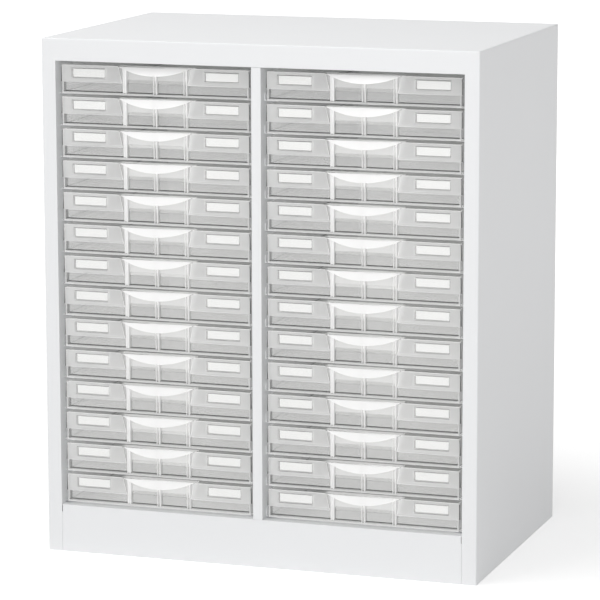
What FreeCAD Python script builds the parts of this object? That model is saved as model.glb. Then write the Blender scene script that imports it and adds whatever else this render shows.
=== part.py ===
import FreeCAD, Part
import os

# A free-standing document cabinet of folded sheet steel with two columns of shallow drawers.
# Each drawer is one moulding of clear polystyrene with a hooded pull and two label pockets.
# Millimetres. X runs to the right, Y from the front to the rear, Z up.
# The origin is on the floor, under the middle of the cabinet.

# Cabinet
cabinet_width = 605.0
cabinet_depth = 400.0
cabinet_height = 700.0
shell_sheet = 1.0
inner_sheet = 0.8
bend_radius = 2.0
rail_height = 30.0
stile_width = 20.0
front_return = 15.0
rear_flange = 13.0
base_flange = 12.0
plinth_height = 65.0
plinth_top_flange = 30.0
plinth_corner_notch = 10.0
divider_width = 13.0
pan_flange = 15.0
seam = 0.25

# Drawers in the cabinet
rows = 14
columns = 2
side_gap = 4.5
top_gap = 5.8
bottom_gap = 3.0
drawer_gap = 4.6
front_setback = 8.0
rear_gap = 9.0

# Runners
runner_sheet = 0.8
runner_rise = 9.0
runner_overlap = 10.0
running_clearance = 0.3
runner_front_gap = 0.5
stop_rise = 8.0

# Tray moulding
tray_wall = 2.0
tray_floor = 2.5
slide_flange = 1.8
wall_draft = 0.8
front_plate_taper = 1.0
band_recess = 7.0
ledge_height = 17.5

# Pull
pull_width = 103.0
pull_taper = 5.7
pull_scoop = 5.0
hood_sag = 11.5
hood_projection = 6.5
rib_pitch = 42.9
rib_thickness = 5.0
rib_setback = 0.6

# Label pockets
card_width = 45.0
card_height = 10.7
card_thickness = 0.4
card_centre = 94.0
card_below_rim = 5.3
pocket_wall = 1.2
pocket_slot = 1.0
pocket_end_gap = 1.3
pocket_inner_gap = 4.0
card_seat = 0.3

# Derived sizes
half_width = cabinet_width / 2
front_y = -cabinet_depth / 2
rear_y = cabinet_depth / 2
opening_height = cabinet_height - rail_height - plinth_height
bay_width = (cabinet_width - 2 * stile_width - divider_width) / 2
row_pitch = (opening_height - top_gap - bottom_gap + drawer_gap) / rows
tray_height = row_pitch - drawer_gap
tray_width = bay_width - 2 * side_gap
tray_depth = cabinet_depth - front_setback - rear_gap - shell_sheet
body_half = tray_width / 2 - slide_flange
bay_centre = (divider_width + bay_width) / 2
liner_face = half_width - stile_width + shell_sheet
rear_flange_face = rear_y - shell_sheet
back_face = rear_flange_face - inner_sheet
shelf_top = plinth_height - shell_sheet
roof_underside = cabinet_height - shell_sheet


def box(x0, x1, y0, y1, z0, z1):
    return Part.makeBox(x1 - x0, y1 - y0, z1 - z0, FreeCAD.Vector(x0, y0, z0))


def prism_along_x(outline, x0, x1):
    corners = [FreeCAD.Vector(x0, y, z) for y, z in outline]
    face = Part.Face(Part.makePolygon(corners + corners[:1]))
    return face.extrude(FreeCAD.Vector(x1 - x0, 0, 0))


def prism_along_y(outline, y0, y1):
    corners = [FreeCAD.Vector(x, y0, z) for x, z in outline]
    face = Part.Face(Part.makePolygon(corners + corners[:1]))
    return face.extrude(FreeCAD.Vector(0, y1 - y0, 0))


def joined(solids):
    return solids[0].multiFuse(solids[1:]).removeSplitter()


def mirrored(shape):
    return shape.mirror(FreeCAD.Vector(0, 0, 0), FreeCAD.Vector(1, 0, 0))


def moved(shape, x, y, z):
    copy = shape.copy()
    copy.translate(FreeCAD.Vector(x, y, z))
    return copy


def trapezoid(half_low, half_high, low, high):
    return [(-half_low, low), (half_low, low), (half_high, high), (-half_high, high)]


# Block that a sheet goes round: the outside of the shell, or the space inside it
def shell_block(inset):
    return box(
        -half_width + inset,
        half_width - inset,
        front_y + inset,
        rear_y - inset,
        0,
        cabinet_height - inset,
    )


# Outer shell: top, sides, front rail and stiles folded from one sheet
def outer_shell():
    opening_half = half_width - stile_width
    rail_bottom = cabinet_height - rail_height
    outside = shell_block(0)
    bends = [edge for edge in outside.Edges if edge.BoundBox.ZMax > cabinet_height / 2]
    skin = outside.makeFillet(bend_radius, bends).cut(shell_block(shell_sheet))
    front_opening = box(-opening_half, opening_half, front_y - 1, 0, -1, rail_bottom)
    rear_opening = box(
        -half_width + rear_flange,
        half_width - rear_flange,
        0,
        rear_y + 1,
        -1,
        cabinet_height - rear_flange,
    )
    skin = skin.cut(front_opening).cut(rear_opening)
    stile_return = box(
        opening_half,
        liner_face,
        front_y,
        front_y + front_return,
        0,
        rail_bottom + shell_sheet,
    )
    rail_return = box(
        -opening_half,
        opening_half,
        front_y,
        front_y + front_return,
        rail_bottom,
        rail_bottom + shell_sheet,
    )
    foot = box(
        half_width - base_flange,
        half_width - shell_sheet / 2,
        front_y + front_return,
        rear_y - rear_flange,
        0,
        shell_sheet,
    )
    sides = [stile_return, foot]
    return joined([skin, rail_return] + sides + [mirrored(part) for part in sides])


def back_panel():
    return box(
        -half_width + shell_sheet + seam,
        half_width - shell_sheet - seam,
        back_face,
        rear_flange_face,
        0,
        roof_underside - seam,
    )


# Shelf pan under the lowest drawers, folded down along the sides and the rear
def bottom_panel():
    reach = half_width - shell_sheet - seam
    front = front_y + front_return + seam
    rear = back_face
    sheet = box(-reach, reach, front, rear, shelf_top - inner_sheet, shelf_top)
    side = box(
        reach - inner_sheet, reach, front, rear, shelf_top - pan_flange, shelf_top
    )
    rear_lip = box(
        -reach, reach, rear - inner_sheet, rear, shelf_top - pan_flange, shelf_top
    )
    return joined([sheet, side, mirrored(side), rear_lip])


# Kick plate between the feet of the stiles, folded back on all four edges
def kick_plate():
    reach = half_width - stile_width - seam
    face = box(-reach, reach, front_y, front_y + shell_sheet, 0, plinth_height)
    top = box(
        -reach,
        reach,
        front_y,
        front_y + plinth_top_flange,
        shelf_top,
        plinth_height,
    )
    foot = box(-reach, reach, front_y, front_y + front_return, 0, shell_sheet)
    side = box(
        reach - shell_sheet,
        reach,
        front_y,
        front_y + front_return,
        0,
        plinth_height - plinth_corner_notch,
    )
    notch = box(
        reach - shell_sheet,
        reach + 1,
        front_y - 1,
        front_y + shell_sheet,
        plinth_height - plinth_corner_notch,
        plinth_height + 1,
    )
    plate = joined([face, top, foot, side, mirrored(side)])
    return plate.cut(notch).cut(mirrored(notch))


# Inner side walls, which carry the runners and box in the stiles
def runner_wall():
    front = front_y + front_return / 2
    outer_edge = half_width - shell_sheet - seam
    web = box(
        liner_face, liner_face + inner_sheet, front, back_face, shelf_top, roof_underside
    )
    rear_lip = box(
        liner_face,
        outer_edge,
        back_face - inner_sheet,
        back_face,
        shelf_top,
        roof_underside,
    )
    return joined([web, rear_lip])


# Hollow partition between the columns: a front face with a skin behind each edge
def centre_partition():
    half = divider_width / 2
    front_low = plinth_height + seam
    front_high = cabinet_height - rail_height - seam
    behind_flanges = front_y + plinth_top_flange + seam
    face = box(-half, half, front_y, front_y + inner_sheet, front_low, front_high)
    front_skin = box(
        half - inner_sheet, half, front_y, behind_flanges, front_low, front_high
    )
    skin = box(
        half - inner_sheet,
        half,
        behind_flanges,
        back_face,
        shelf_top,
        roof_underside,
    )
    skins = [front_skin, skin]
    return joined([face] + skins + [mirrored(part) for part in skins])


# Drawer places
def row_floor(row):
    return cabinet_height - rail_height - top_gap - row * row_pitch + drawer_gap


def column_centre(column):
    return (column - (columns - 1) / 2) * 2 * bay_centre


# One runner: an angle against its wall, with a stop folded up behind the drawer
def runner(wall_x, tray_edge_x):
    toward_tray = 1 if tray_edge_x > wall_x else -1
    tip_x = tray_edge_x + toward_tray * runner_overlap
    leg_x = wall_x + toward_tray * runner_sheet
    low_x, high_x = sorted([wall_x, tip_x])
    leg_low, leg_high = sorted([wall_x, leg_x])
    stop_low, stop_high = sorted([tip_x, tray_edge_x])
    front = front_y + front_return + runner_front_gap
    stop_y = front_y + front_setback + tray_depth + running_clearance
    rear = stop_y + runner_sheet
    top = -running_clearance
    shelf = box(low_x, high_x, front, rear, top - runner_sheet, top)
    leg = box(leg_low, leg_high, front, rear, top, runner_rise)
    stop = box(stop_low, stop_high, stop_y, rear, top, stop_rise)
    return joined([shelf, leg, stop])


def runner_set(wall_x, tray_edge_x):
    one = runner(wall_x, tray_edge_x)
    return Part.makeCompound([moved(one, 0, 0, row_floor(row)) for row in range(1, rows + 1)])


def runner_sets():
    outer_wall = liner_face
    inner_wall = divider_width / 2
    outer_edge = bay_centre + tray_width / 2
    inner_edge = bay_centre - tray_width / 2
    return {
        "runners_left_outer": runner_set(-outer_wall, -outer_edge),
        "runners_left_inner": runner_set(-inner_wall, -inner_edge),
        "runners_right_inner": runner_set(inner_wall, inner_edge),
        "runners_right_outer": runner_set(outer_wall, outer_edge),
    }


# Tray, around its own origin: under the middle of its front edge
def tray_body():
    ledge_low = ledge_height - tray_wall
    flange = box(-tray_width / 2, tray_width / 2, 0, tray_depth, 0, tray_floor)
    outside = prism_along_y(
        trapezoid(body_half, body_half - wall_draft, 0, tray_height), 0, tray_depth
    )
    inner_half = body_half - tray_wall
    below_ledge = box(
        -inner_half, inner_half, -1, band_recess, tray_floor, ledge_low
    )
    hollow_low = box(
        -inner_half,
        inner_half,
        band_recess + tray_wall,
        tray_depth - tray_wall,
        tray_floor,
        tray_height + 1,
    )
    hollow_high = box(
        -inner_half,
        inner_half,
        tray_wall,
        band_recess + tray_wall,
        ledge_height,
        tray_height + 1,
    )
    plate_half = tray_width / 2
    plate = prism_along_y(
        trapezoid(plate_half, plate_half - front_plate_taper, ledge_low, tray_height),
        0,
        tray_wall,
    )
    walls = outside.cut(below_ledge).cut(hollow_low).cut(hollow_high)
    return joined([flange, walls, plate])


def pull_outline(extra):
    return trapezoid(
        pull_width / 2 - pull_taper + extra,
        pull_width / 2 + extra,
        ledge_height - tray_wall,
        tray_height,
    )


# Scoop behind the pull: a wall that leans back, cheeks and a roof
def pull_scoop_shell():
    low = ledge_height - tray_wall
    depth = band_recess + pull_scoop + tray_wall
    outside = prism_along_y(pull_outline(tray_wall), 0, depth)
    lean = prism_along_x(
        [
            (-1, low),
            (band_recess + tray_wall, low),
            (depth, tray_height),
            (-1, tray_height),
        ],
        -pull_width,
        pull_width,
    )
    space = prism_along_x(
        [
            (-1, low - 1),
            (band_recess, low - 1),
            (band_recess, low),
            (band_recess + pull_scoop, tray_height - tray_wall),
            (-1, tray_height - tray_wall),
        ],
        -pull_width,
        pull_width,
    )
    window = prism_along_y(
        trapezoid(
            pull_width / 2 - pull_taper,
            pull_width / 2,
            low - 1,
            tray_height,
        ),
        -1,
        depth,
    )
    return outside.common(lean).cut(space.common(window))


def hood_radius():
    half = pull_width / 2
    return (half * half + hood_sag * hood_sag) / (2 * hood_sag)


# The disc whose lower arc is the hood's lower edge
def hood_disc():
    radius = hood_radius()
    centre = FreeCAD.Vector(0, -hood_projection - 1, tray_height - hood_sag + radius)
    reach = hood_projection + 1 + band_recess
    return Part.makeCylinder(radius, reach, centre, FreeCAD.Vector(0, 1, 0))


# Hood: a plate that leans forward from the rim and ends in an arc
def pull_hood():
    low = tray_height - hood_sag
    half = pull_width / 2
    plate = prism_along_x(
        [
            (0, tray_height),
            (-hood_projection, low),
            (-hood_projection + tray_wall, low),
            (tray_wall, tray_height),
        ],
        -half,
        half,
    )
    return plate.common(hood_disc())


# Rib from the flange up to the roof of the scoop
def pull_rib(x):
    return box(
        x - rib_thickness / 2,
        x + rib_thickness / 2,
        rib_setback,
        band_recess + tray_wall / 2,
        tray_floor,
        tray_height - tray_wall / 2,
    )


# Nose that carries the middle rib forward into the hood
def rib_nose():
    low = tray_height - hood_sag
    nose = prism_along_x(
        [
            (rib_setback, low),
            (-hood_projection + tray_wall / 2, low),
            (tray_wall / 2, tray_height),
            (rib_setback, tray_height),
        ],
        -rib_thickness / 2,
        rib_thickness / 2,
    )
    return nose.common(hood_disc())


# Label pocket behind the front plate, open at the top, for the right-hand side
def card_floor():
    return tray_height - card_below_rim - card_height


def pocket_block():
    inner_x = card_centre - card_width / 2 - pocket_inner_gap
    outer_x = card_centre + card_width / 2 + pocket_end_gap
    back = tray_wall + pocket_slot
    low = card_floor() - card_seat
    high = low + card_height + card_seat
    block = box(
        inner_x - pocket_wall,
        outer_x + pocket_wall,
        tray_wall,
        back + pocket_wall,
        low - pocket_wall,
        high,
    )
    slot = box(inner_x, outer_x, tray_wall, back, low, high)
    return block.cut(slot)


def label_card():
    return box(
        card_centre - card_width / 2,
        card_centre + card_width / 2,
        tray_wall + card_seat,
        tray_wall + card_seat + card_thickness,
        card_floor(),
        card_floor() + card_height,
    )


def tray():
    window = prism_along_y(pull_outline(0), -1, band_recess + tray_wall)
    body = tray_body().cut(window)
    ribs = [pull_rib(side * rib_pitch) for side in (-1, 0, 1)]
    pocket = pocket_block()
    moulding = joined(
        [body, pull_scoop_shell(), pull_hood(), rib_nose(), pocket, mirrored(pocket)] + ribs
    )
    card = label_card()
    return Part.makeCompound([moulding, card, mirrored(card)])


def drawers():
    one = tray()
    placed = {}
    for column, side in enumerate(("left", "right")):
        for row in range(1, rows + 1):
            placed[f"tray_{side}_{row:02d}"] = moved(
                one,
                column_centre(column),
                front_y + front_setback,
                row_floor(row),
            )
    return placed


def cabinet():
    wall = runner_wall()
    return {
        "outer_shell": outer_shell(),
        "back_panel": back_panel(),
        "bottom_panel": bottom_panel(),
        "kick_plate": kick_plate(),
        "centre_partition": centre_partition(),
        "left_runner_wall": mirrored(wall),
        "right_runner_wall": wall,
    }


def main():
    os.makedirs("parts", exist_ok=True)
    nodes = {**cabinet(), **runner_sets(), **drawers()}
    for name, shape in nodes.items():
        shape.exportStep(f"parts/{name}.step")
        print(name, len(shape.Solids), round(shape.Volume), shape.isValid())


main()
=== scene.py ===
import math

import bmesh
import bpy
from mathutils import Matrix, Vector

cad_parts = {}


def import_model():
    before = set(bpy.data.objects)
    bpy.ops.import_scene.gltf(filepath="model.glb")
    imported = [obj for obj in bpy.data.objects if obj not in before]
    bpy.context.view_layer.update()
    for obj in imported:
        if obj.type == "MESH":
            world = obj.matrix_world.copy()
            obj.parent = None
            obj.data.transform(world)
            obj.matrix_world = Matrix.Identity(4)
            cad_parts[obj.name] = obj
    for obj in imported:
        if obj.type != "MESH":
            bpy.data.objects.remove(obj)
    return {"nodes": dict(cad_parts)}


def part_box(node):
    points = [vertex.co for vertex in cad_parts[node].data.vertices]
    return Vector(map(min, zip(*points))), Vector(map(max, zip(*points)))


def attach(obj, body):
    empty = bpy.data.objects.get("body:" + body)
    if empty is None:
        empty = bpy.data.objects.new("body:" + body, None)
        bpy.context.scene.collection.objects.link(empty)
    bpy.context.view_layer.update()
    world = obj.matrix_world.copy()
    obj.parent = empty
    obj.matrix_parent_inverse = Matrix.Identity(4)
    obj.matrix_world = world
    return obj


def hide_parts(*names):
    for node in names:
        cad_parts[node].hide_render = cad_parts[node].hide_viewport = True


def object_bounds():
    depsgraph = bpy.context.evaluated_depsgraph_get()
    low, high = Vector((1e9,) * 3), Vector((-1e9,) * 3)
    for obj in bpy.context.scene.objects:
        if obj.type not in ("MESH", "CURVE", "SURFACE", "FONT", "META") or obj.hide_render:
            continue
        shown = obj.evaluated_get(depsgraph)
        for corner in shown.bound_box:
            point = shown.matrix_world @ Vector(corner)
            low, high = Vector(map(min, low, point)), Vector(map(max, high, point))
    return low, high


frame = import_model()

cad_box = [list(corner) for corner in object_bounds()]
front_plane = cad_box[0][1]
millimetre = 0.001
trays = sorted(name for name in frame["nodes"] if name.startswith("tray_"))

# The camera of the photograph, from the middle of the cabinet's front at floor level
camera_right = 1.424
camera_back = 4.004
camera_height = 1.121
camera_yaw = math.radians(18.81)
camera_pitch = math.radians(10.12)
camera_roll = math.radians(-0.124)
focal_pixels = 3278.0
image_pixels = 600.0
sensor_width = 36.0
nearest_seen = 0.1
farthest_seen = 100.0

# Label cards and the windows before them
card_width = 45.0 * millimetre
card_height = 10.7 * millimetre
card_thickness = 0.4 * millimetre
card_centre = 94.0 * millimetre
card_below_rim = 5.3 * millimetre
card_behind_front = 2.3 * millimetre
card_corner_round = 0.5 * millimetre
# A band of painted shade around each card, in the pocket before it
painted_card_shade = 0.9 * millimetre
painted_card_shade_depth = 0.15 * millimetre
painted_card_shade_gap = 0.05 * millimetre
window_margin = 0.6 * millimetre

# The tray as it is moulded, measured from the front plate and the tray's foot
hood_projection = 6.5 * millimetre
hood_lean = 0.5 * millimetre
ledge_low = 15.5 * millimetre
tray_floor = 2.5 * millimetre
tray_wall = 2.0 * millimetre
band_recess = 7.0 * millimetre
rib_setback = 0.6 * millimetre
pull_width = 103.0 * millimetre
pull_taper = 5.7 * millimetre
pull_scoop = 5.0 * millimetre
lip_width = 2.0 * millimetre
shortest_upright = 4.0 * millimetre

# Roundings, and how closely an edge is found by its place
plate_corner_round = 1.5 * millimetre
plate_corner_steps = 5
foot_fillet = 1.1 * millimetre
front_edge_round = 0.9 * millimetre
edge_round = 0.4 * millimetre
edge_steps = 2
card_corner_steps = 3
# Width of the painted shade line at each end of the front plate
painted_end_shade_width = 1.3 * millimetre
tolerance = 0.1 * millimetre
smallest_edge = 0.02 * millimetre
merge_distance = 1e-6
flat_angle = math.radians(1)
sharp_angle = math.radians(30)
squarely = 0.9

# Painted steel
steel_white = (0.855, 0.862, 0.872)
steel_roughness = 0.42
steel_specular = 0.4
roughness_swing = 0.06
cloud_scale = 9.0
cloud_shade = 0.985
peel_scale = 900.0
peel_strength = 0.12
peel_depth = 0.2 * millimetre

# Clear plastic: a clear share, and a hazy share that grows from square on to edge on
plastic_white = (0.97, 0.968, 0.965)
plastic_index = 1.55
plastic_smoothest = 0.06
plastic_roughest = 0.12
flow_scale = 60.0
clear_colour = (0.992, 0.992, 0.99, 1.0)
facing_blend = 0.4
haze_in_shadow = 0.09
# Apart from the clear body and the label window, these finishes are lighter and darker copies of
# the plastic: painted highlight on edges, painted light on the hood, scoop and front plate, and
# painted shade in corners, at the plate's ends, around the cards and on rib fronts and cheeks
tray_finishes = (
    ("clear_polystyrene", plastic_white, 0.2, 0.45),
    ("painted_highlight_edge", (0.99, 0.988, 0.985), 0.9, 1.0),
    ("painted_dark_shade", (0.06, 0.06, 0.06), 0.85, 0.92),
    ("painted_light_hood", plastic_white, 0.8, 0.95),
    ("front_plate_painted_lighter", plastic_white, 0.44, 0.85),
    ("label_window", plastic_white, 0.04, 0.6),
    ("painted_light_scoop", (0.98, 0.978, 0.975), 0.7, 0.85),
    ("painted_rib_and_cheek_shade", (0.45, 0.45, 0.45), 0.5, 0.6),
)
body_finish, painted_highlight_finish, painted_shade_finish, painted_light_hood_finish = 0, 1, 2, 3
painted_light_plate_finish, window_finish, painted_light_scoop_finish, painted_rib_and_cheek_shade_finish = 4, 5, 6, 7

# Paper of the label cards
paper_dull = (0.93, 0.93, 0.925, 1.0)
paper_white = (0.97, 0.97, 0.965, 1.0)
paper_roughness = 0.85
fibre_scale = 1500.0

# Floor, sky and lamps
floor_size = 30.0
floor_colour = (0.9, 0.9, 0.9, 1.0)
floor_roughness = 0.9
floor_specular = 0.1
floor_glow_near = 0.34
floor_glow_far = 0.9
glow_starts = 0.4
glow_ends = 3.0
sky_strength = 0.5
front_lamp = {"place": (1.2, -4.3, 1.25), "target": (0, 0, 0.35), "size": 3.0, "power": 67.0}
top_lamp = {"place": (-0.7, -0.9, 3.0), "target": (0, 0, 0.4), "size": 1.5, "power": 27.0}


def new_material(name):
    material = bpy.data.materials.new(name)
    material.use_nodes = True
    nodes = material.node_tree.nodes
    return material, nodes, material.node_tree.links, nodes["Principled BSDF"]


def noise(nodes, links, scale, detail, coordinates):
    texture = nodes.new("ShaderNodeTexNoise")
    texture.inputs["Scale"].default_value = scale
    texture.inputs["Detail"].default_value = detail
    links.new(coordinates, texture.inputs["Vector"])
    return texture.outputs["Fac"]


# Maps a value from 0 to 1 to the range between two others
def spread(nodes, links, value, low_value, high_value):
    mapped = nodes.new("ShaderNodeMapRange")
    mapped.inputs["To Min"].default_value = low_value
    mapped.inputs["To Max"].default_value = high_value
    links.new(value, mapped.inputs["Value"])
    return mapped.outputs["Result"]


# White powder coat: a fine orange peel, and a faint cloud in its tone
def powder_coat():
    material, nodes, links, shader = new_material("white_powder_coat")
    place = nodes.new("ShaderNodeTexCoord").outputs["Object"]
    peel = noise(nodes, links, peel_scale, 3.0, place)
    cloud = noise(nodes, links, cloud_scale, 4.0, place)
    tint = nodes.new("ShaderNodeMix")
    tint.data_type = "RGBA"
    tint.inputs["A"].default_value = (
        *[channel * cloud_shade for channel in steel_white],
        1.0,
    )
    tint.inputs["B"].default_value = (*steel_white, 1.0)
    links.new(cloud, tint.inputs["Factor"])
    links.new(tint.outputs["Result"], shader.inputs["Base Color"])
    smoothest = steel_roughness - roughness_swing
    roughest = steel_roughness + roughness_swing
    links.new(spread(nodes, links, peel, smoothest, roughest), shader.inputs["Roughness"])
    bump = nodes.new("ShaderNodeBump")
    bump.inputs["Strength"].default_value = peel_strength
    bump.inputs["Distance"].default_value = peel_depth
    links.new(peel, bump.inputs["Height"])
    links.new(bump.outputs["Normal"], shader.inputs["Normal"])
    shader.inputs["Specular IOR Level"].default_value = steel_specular
    return material


# Light on its way to other surfaces passes the haze more freely than sight does
def polystyrene(name, colour, square_on, edge_on):
    material, nodes, links, shader = new_material(name)
    place = nodes.new("ShaderNodeTexCoord").outputs["Object"]
    flow = noise(nodes, links, flow_scale, 3.0, place)
    shader.inputs["Base Color"].default_value = (*colour, 1.0)
    shader.inputs["IOR"].default_value = plastic_index
    roughness = spread(nodes, links, flow, plastic_smoothest, plastic_roughest)
    links.new(roughness, shader.inputs["Roughness"])
    clear = nodes.new("ShaderNodeBsdfTransparent")
    clear.inputs["Color"].default_value = clear_colour
    facing = nodes.new("ShaderNodeLayerWeight")
    facing.inputs["Blend"].default_value = facing_blend
    haze = spread(nodes, links, facing.outputs["Facing"], square_on, edge_on)
    path = nodes.new("ShaderNodeLightPath")
    passing = nodes.new("ShaderNodeMath")
    passing.operation = "MAXIMUM"
    links.new(path.outputs["Is Shadow Ray"], passing.inputs[0])
    links.new(path.outputs["Is Diffuse Ray"], passing.inputs[1])
    lit_through = spread(nodes, links, passing.outputs["Value"], 1.0, haze_in_shadow)
    cover = nodes.new("ShaderNodeMath")
    cover.operation = "MULTIPLY"
    links.new(haze, cover.inputs[0])
    links.new(lit_through, cover.inputs[1])
    mix = nodes.new("ShaderNodeMixShader")
    links.new(cover.outputs["Value"], mix.inputs["Fac"])
    links.new(clear.outputs["BSDF"], mix.inputs[1])
    links.new(shader.outputs["BSDF"], mix.inputs[2])
    links.new(mix.outputs["Shader"], nodes["Material Output"].inputs["Surface"])
    return material


def card_paper():
    material, nodes, links, shader = new_material("card_paper")
    place = nodes.new("ShaderNodeTexCoord").outputs["Object"]
    fibre = noise(nodes, links, fibre_scale, 4.0, place)
    tint = nodes.new("ShaderNodeMix")
    tint.data_type = "RGBA"
    tint.inputs["A"].default_value = paper_dull
    tint.inputs["B"].default_value = paper_white
    links.new(fibre, tint.inputs["Factor"])
    links.new(tint.outputs["Result"], shader.inputs["Base Color"])
    shader.inputs["Roughness"].default_value = paper_roughness
    return material


def mesh_object(name, body, material):
    mesh = bpy.data.meshes.new(name)
    body.to_mesh(mesh)
    body.free()
    mesh.materials.append(material)
    piece = bpy.data.objects.new(name, mesh)
    bpy.context.scene.collection.objects.link(piece)
    return piece


# The groups of vertices that hang together: the moulding and its two cards
def islands(body):
    unseen = set(body.verts)
    found = []
    while unseen:
        start = unseen.pop()
        group = {start}
        stack = [start]
        while stack:
            here = stack.pop()
            for edge in here.link_edges:
                other = edge.other_vert(here)
                if other not in group:
                    group.add(other)
                    stack.append(other)
        unseen -= group
        found.append(group)
    return found


# The moulding of a tray without its cards, its triangles joined into flat faces
def bare_moulding(source):
    body = bmesh.new()
    body.from_mesh(source.data)
    bmesh.ops.remove_doubles(body, verts=body.verts, dist=merge_distance)
    moulding = max(islands(body), key=len)
    cards = [vertex for vertex in body.verts if vertex not in moulding]
    bmesh.ops.delete(body, geom=cards, context="VERTS")
    bmesh.ops.dissolve_limit(body, angle_limit=flat_angle, verts=body.verts, edges=body.edges)
    bmesh.ops.remove_doubles(body, verts=body.verts, dist=3 * smallest_edge)
    return body


def tray_mesh(source):
    body = bare_moulding(source)
    front = min(vertex.co.y for vertex in body.verts) + hood_projection
    foot = min(vertex.co.z for vertex in body.verts)
    round_off(body, plate_corners(body, front), plate_corner_round, plate_corner_steps, body_finish)
    # Painted shade along the concave fillet where the floor meets the lower band
    floor_line = lying(body, front + band_recess, foot + tray_floor)
    round_off(body, floor_line, foot_fillet, edge_steps, painted_shade_finish)
    # Painted highlight along the rounded edge of the ledge
    ledge_line = lying(body, front, foot + ledge_low)
    round_off(body, ledge_line, front_edge_round, edge_steps, painted_highlight_finish)
    reach = [vertex.co.x for vertex in body.verts]
    middle = (min(reach) + max(reach)) / 2
    past_cards = card_centre + card_width / 2 + painted_card_shade
    # Painted shade on the rounded upright ends of the plate beyond the cards
    ends = [e for e in standing(body, front) if abs(e.verts[0].co.x - middle) > past_cards]
    round_off(body, ends, front_edge_round, edge_steps, painted_shade_finish)
    # Painted highlight on the upright convex edges of the front plate and its ribs
    upright = standing(body, front + rib_setback) + standing(body, front)
    round_off(body, upright, front_edge_round, edge_steps, painted_highlight_finish)
    scoop_ends = scoop_corners(body, front, foot, middle)
    round_off(body, scoop_ends, edge_round, edge_steps, painted_highlight_finish)
    # The other sharp edges: painted shade where concave, painted highlight where convex
    round_off(body, sharp_edges(body, False), edge_round, edge_steps, painted_shade_finish)
    round_off(body, sharp_edges(body, True), edge_round, edge_steps, painted_highlight_finish)
    bmesh.ops.remove_doubles(body, verts=body.verts, dist=smallest_edge)
    bmesh.ops.dissolve_degenerate(body, dist=smallest_edge, edges=body.edges)
    for face in body.faces:
        if face.material_index == body_finish:
            face.material_index = finish_of(face, front, foot, middle)
    painted_end_shade_lines(body, front, middle)
    painted_shade_around_cards(body, front, middle)
    return body


# The finish of a face that no rounding has made, most of them painted light or painted shade
def finish_of(face, front, foot, middle):
    centre = face.calc_center_median()
    across = abs(face.normal.x) > squarely
    # Painted shade on the upright end faces of the front plate
    if across and centre.y < front + tray_wall and centre.z > foot + ledge_low:
        return painted_shade_finish
    # Painted light: the hood faces get a lighter, hazier copy of the plastic
    if centre.y < front - hood_lean:
        return painted_light_hood_finish
    if in_scoop(centre, front, foot, middle):
        # Painted light: the scoop's left half and its right-facing faces get a lighter copy of the
        # plastic, the rest stays clear
        lit = centre.x < middle or face.normal.x > 0.5
        return painted_light_scoop_finish if lit else body_finish
    # Painted shade: the rib fronts and the inner faces of the end cheeks get a grey copy of the
    # plastic
    if abs(centre.y - front - rib_setback) < tolerance and centre.z > foot + tray_floor:
        return painted_rib_and_cheek_shade_finish
    if across and in_end_cheek(centre, front, foot, middle):
        return painted_rib_and_cheek_shade_finish
    # Painted highlight on the floor's front edge; painted light, a hazier copy of the plastic, on
    # the rest of the front plate
    if centre.y < front + tolerance:
        return painted_highlight_finish if centre.z < foot + tray_floor else painted_light_plate_finish
    return body_finish


# Edges between two faces that no rounding has touched yet
def sharp_edges(body, convex):
    return [
        edge
        for edge in body.edges
        if len(edge.link_faces) == 2
        and edge.calc_face_angle() > sharp_angle
        and edge.is_convex == convex
        and edge.link_faces[0].material_index == body_finish
        and edge.link_faces[1].material_index == body_finish
    ]


# The hollow of the pull above the ledge
def in_scoop(point, front, foot, middle):
    across = abs(point.x - middle) < pull_width / 2 + tolerance
    behind = front + tolerance < point.y < front + band_recess + pull_scoop + tolerance
    return across and behind and point.z > foot + ledge_low + millimetre


# The inner faces of the cheeks at both ends of the band under the ledge
def in_end_cheek(point, front, foot, middle):
    outside = abs(point.x - middle) > card_centre
    low_down = foot + tray_floor < point.z < foot + ledge_low
    return outside and low_down and front < point.y < front + band_recess


# The upright inner corners at the ends of the scoop, which get a painted highlight
def scoop_corners(body, front, foot, middle):
    inner = pull_width / 2 - pull_taper - millimetre
    return [
        edge
        for edge in sharp_edges(body, False)
        if all(in_scoop(v.co, front, foot - millimetre, middle) for v in edge.verts)
        and all(abs(v.co.x - middle) > inner for v in edge.verts)
    ]


# The clear part of the front plate before a label card
def clear_window(body, front, x, z):
    wide = card_width / 2 + painted_card_shade + window_margin
    tall = card_height / 2 + painted_card_shade + window_margin
    for point, normal in (
        ((x - wide, 0, 0), (1, 0, 0)),
        ((x + wide, 0, 0), (1, 0, 0)),
        ((0, 0, z - tall), (0, 0, 1)),
        ((0, 0, z + tall), (0, 0, 1)),
    ):
        cut_plate(body, point, normal)
    for face in body.faces:
        centre = face.calc_center_median()
        inside = abs(centre.x - x) < wide and abs(centre.z - z) < tall
        skin = abs(face.normal.y) > squarely and centre.y < front + tray_wall + tolerance
        if inside and skin:
            face.material_index = window_finish


# A painted shade line upright at both ends of the front plate
def painted_end_shade_lines(body, front, middle):
    plate_end = max(v.co.x - middle for v in body.verts if v.co.y < front + tolerance)
    end = plate_end - painted_end_shade_width
    for side in (-1, 1):
        cut_plate(body, (middle + side * end, 0, 0), (1, 0, 0))
    for face in body.faces:
        outside = abs(face.calc_center_median().x - middle) > end
        if outside and face.material_index == painted_light_plate_finish:
            face.material_index = painted_shade_finish


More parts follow.
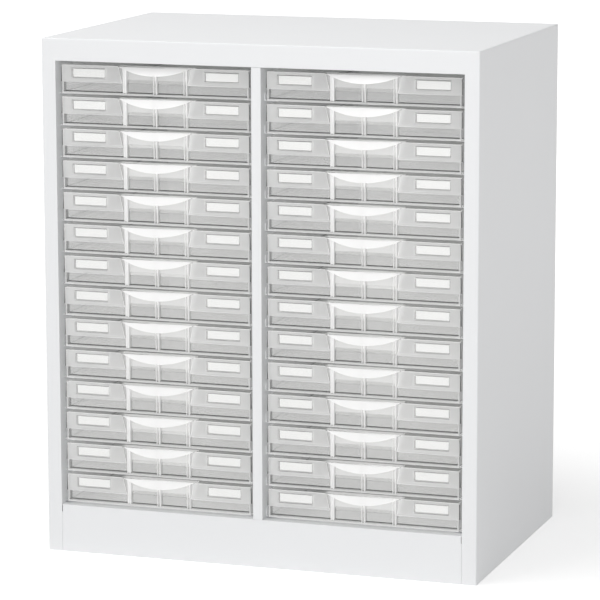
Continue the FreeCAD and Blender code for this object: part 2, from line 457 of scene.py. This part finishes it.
# Cuts the faces of the front plate along a plane
def cut_plate(body, point, normal):
    plate = [face for face in body.faces if face.material_index == painted_light_plate_finish]
    edges = [edge for edge in body.edges if any(face in plate for face in edge.link_faces)]
    corners = [vertex for vertex in body.verts if any(face in plate for face in vertex.link_faces)]
    bmesh.ops.bisect_plane(
        body, geom=plate + edges + corners, plane_co=point, plane_no=normal
    )


# A painted shade band around each label window, in the pocket in front of the card
def painted_shade_around_cards(body, front, middle):
    top = max(vertex.co.z for vertex in body.verts) - card_below_rim
    size = (card_width + 2 * painted_card_shade, card_height + 2 * painted_card_shade, 1.0)
    upright = Matrix.Rotation(math.radians(90), 3, "X")
    for side in (-1, 1):
        x = middle + side * card_centre
        z = top - card_height / 2
        clear_window(body, front, x, z)
        made = bmesh.ops.create_grid(body, x_segments=1, y_segments=1, size=0.5)["verts"]
        bmesh.ops.scale(body, vec=size, verts=made)
        bmesh.ops.rotate(body, matrix=upright, verts=made)
        place = (x, front + tray_wall + painted_card_shade_gap, z)
        bmesh.ops.translate(body, vec=place, verts=made)
        window = made[0].link_faces[0]
        rim = bmesh.ops.inset_region(body, faces=[window], thickness=painted_card_shade)["faces"]
        bmesh.ops.delete(body, geom=[window], context="FACES_ONLY")
        bmesh.ops.recalc_face_normals(body, faces=rim)
        thick = bmesh.ops.solidify(body, geom=rim, thickness=-painted_card_shade_depth)["geom"]
        for item in rim + thick:
            if isinstance(item, bmesh.types.BMFace):
                item.material_index = painted_shade_finish


# Rounds edges off, and gives the new faces a finish of their own
def round_off(body, edges, radius, segments, finish):
    made = bmesh.ops.bevel(
        body,
        geom=edges,
        offset=radius,
        segments=segments,
        profile=0.5,
        affect="EDGES",
        clamp_overlap=False,
        material=-1,
    )
    for face in made["faces"]:
        face.material_index = finish


# Edges that run along x at one place
def lying(body, y, z):
    return [
        edge
        for edge in body.edges
        if all(abs(v.co.y - y) < tolerance and abs(v.co.z - z) < tolerance for v in edge.verts)
    ]


# Edges that rise from the ledge or the floor in one plane
def standing(body, y):
    return [
        edge
        for edge in body.edges
        if all(abs(v.co.y - y) < tolerance for v in edge.verts)
        and abs(edge.verts[0].co.z - edge.verts[1].co.z) > shortest_upright
        and len(edge.link_faces) == 2
        and edge.calc_face_angle() > sharp_angle
        and edge.is_convex
    ]


# The top corners of the front plate, seen from the front
def plate_corners(body, front):
    top = max(vertex.co.z for vertex in body.verts)
    right = max(vertex.co.x for vertex in body.verts)
    left = min(vertex.co.x for vertex in body.verts)
    corners = []
    for edge in body.edges:
        one, other = (vertex.co for vertex in edge.verts)
        at_front = min(one.y, other.y) < front + tolerance
        along_y = abs(one.y - other.y) > millimetre and abs(one.x - other.x) < tolerance
        at_top = min(one.z, other.z) > top - tolerance
        at_side = min(right - one.x, one.x - left) < lip_width
        if at_front and along_y and at_top and at_side:
            corners.append(edge)
    return corners


# The two paper cards of a tray, behind its label windows
def label_cards(name, node, material):
    lowest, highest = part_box(node)
    middle = (lowest.x + highest.x) / 2
    front = lowest.y + hood_projection + card_behind_front
    top = highest.z - card_below_rim
    body = bmesh.new()
    for side in (-1, 1):
        made = bmesh.ops.create_cube(body, size=1.0)["verts"]
        bmesh.ops.scale(body, vec=(card_width, card_thickness, card_height), verts=made)
        place = (
            middle + side * card_centre,
            front + card_thickness / 2,
            top - card_height / 2,
        )
        bmesh.ops.translate(body, vec=place, verts=made)
    corners = [e for e in body.edges if abs(e.verts[0].co.y - e.verts[1].co.y) > tolerance]
    bmesh.ops.bevel(
        body,
        geom=corners,
        offset=card_corner_round,
        segments=card_corner_steps,
        profile=0.5,
        affect="EDGES",
        material=-1,
    )
    return mesh_object(name, body, material)


# All trays are alike, so one mesh is made and set in each place
def dress_trays(paper):
    finishes = [polystyrene(*finish) for finish in tray_finishes]
    body = tray_mesh(frame["nodes"][trays[0]])
    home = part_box(trays[0])[0]
    for node in trays:
        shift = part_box(node)[0] - home
        copy = body.copy()
        bmesh.ops.translate(copy, vec=shift, verts=copy.verts)
        piece = mesh_object(node.replace("tray", "moulding"), copy, finishes[0])
        for finish in finishes[1:]:
            piece.data.materials.append(finish)
        cards = label_cards(node.replace("tray", "cards"), node, paper)
        drawer = node.replace("tray", "drawer")
        for made in (piece, cards):
            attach(made, drawer)
            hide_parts(node)
    body.free()


def paint_cabinet():
    coat = powder_coat()
    for name, node in frame["nodes"].items():
        if name in trays:
            continue
        node.data.materials.clear()
        node.data.materials.append(coat)


# 1 where the camera, a gloss or a see-through surface looks, and 0 for other light
def seen_directly(nodes, links):
    path = nodes.new("ShaderNodeLightPath")
    seen = path.outputs["Is Camera Ray"]
    for kind in ("Is Glossy Ray", "Is Transmission Ray"):
        either = nodes.new("ShaderNodeMath")
        either.operation = "MAXIMUM"
        links.new(seen, either.inputs[0])
        links.new(path.outputs[kind], either.inputs[1])
        seen = either.outputs[0]
    return seen


# A pale floor that reads white away from the cabinet and keeps the shadow near it
def floor():
    body = bmesh.new()
    bmesh.ops.create_grid(body, x_segments=1, y_segments=1, size=floor_size)
    material, nodes, links, shader = new_material("pale_floor")
    shader.inputs["Base Color"].default_value = floor_colour
    shader.inputs["Roughness"].default_value = floor_roughness
    shader.inputs["Specular IOR Level"].default_value = floor_specular
    place = nodes.new("ShaderNodeTexCoord").outputs["Object"]
    distance = nodes.new("ShaderNodeVectorMath")
    distance.operation = "LENGTH"
    links.new(place, distance.inputs[0])
    backing = spread(nodes, links, distance.outputs["Value"], floor_glow_near, floor_glow_far)
    backing.node.inputs["From Min"].default_value = glow_starts
    backing.node.inputs["From Max"].default_value = glow_ends
    glow = nodes.new("ShaderNodeEmission")
    strength = nodes.new("ShaderNodeMath")
    strength.operation = "MULTIPLY"
    links.new(backing, strength.inputs[0])
    links.new(seen_directly(nodes, links), strength.inputs[1])
    links.new(strength.outputs["Value"], glow.inputs["Strength"])
    both = nodes.new("ShaderNodeAddShader")
    links.new(shader.outputs["BSDF"], both.inputs[0])
    links.new(glow.outputs["Emission"], both.inputs[1])
    links.new(both.outputs["Shader"], nodes["Material Output"].inputs["Surface"])
    piece = mesh_object("floor", body, material)


def world():
    surroundings = bpy.data.worlds.new("studio")
    bpy.context.scene.world = surroundings
    surroundings.use_nodes = True
    nodes = surroundings.node_tree.nodes
    links = surroundings.node_tree.links
    background = nodes["Background"]
    background.inputs["Color"].default_value = (1, 1, 1, 1)
    seen = seen_directly(nodes, links)
    links.new(spread(nodes, links, seen, sky_strength, 1.0), background.inputs["Strength"])


def lamp(name, place, target, size, power):
    light = bpy.data.lights.new(name, "AREA")
    light.shape = "SQUARE"
    light.size = size
    light.energy = power
    holder = bpy.data.objects.new(name, light)
    bpy.context.scene.collection.objects.link(holder)
    holder.location = place
    direction = Vector(target) - Vector(place)
    holder.rotation_euler = direction.to_track_quat("-Z", "Y").to_euler()


def camera():
    lens = bpy.data.cameras.new("camera")
    lens.sensor_width = sensor_width
    lens.lens = focal_pixels / image_pixels * sensor_width
    lens.clip_start = nearest_seen
    lens.clip_end = farthest_seen
    holder = bpy.data.objects.new("camera", lens)
    bpy.context.scene.collection.objects.link(holder)
    forward = Vector(
        (
            -math.sin(camera_yaw) * math.cos(camera_pitch),
            math.cos(camera_yaw) * math.cos(camera_pitch),
            -math.sin(camera_pitch),
        )
    )
    across = Vector((math.cos(camera_yaw), math.sin(camera_yaw), 0.0))
    upward = across.cross(forward)
    right = across * math.cos(camera_roll) + upward * math.sin(camera_roll)
    up = upward * math.cos(camera_roll) - across * math.sin(camera_roll)
    turn = Matrix((right, up, -forward)).transposed().to_4x4()
    place = Vector((camera_right, front_plane - camera_back, camera_height))
    holder.matrix_world = Matrix.Translation(place) @ turn
    bpy.context.scene.camera = holder


paint_cabinet()
dress_trays(card_paper())
floor()
world()
lamp("front", **front_lamp)
lamp("top", **top_lamp)
camera()

cycles = bpy.context.scene.cycles
cycles.max_bounces = 24
cycles.transmission_bounces = 24
cycles.transparent_max_bounces = 96
cycles.diffuse_bounces = 6
bpy.context.scene.view_settings.view_transform = "Standard"
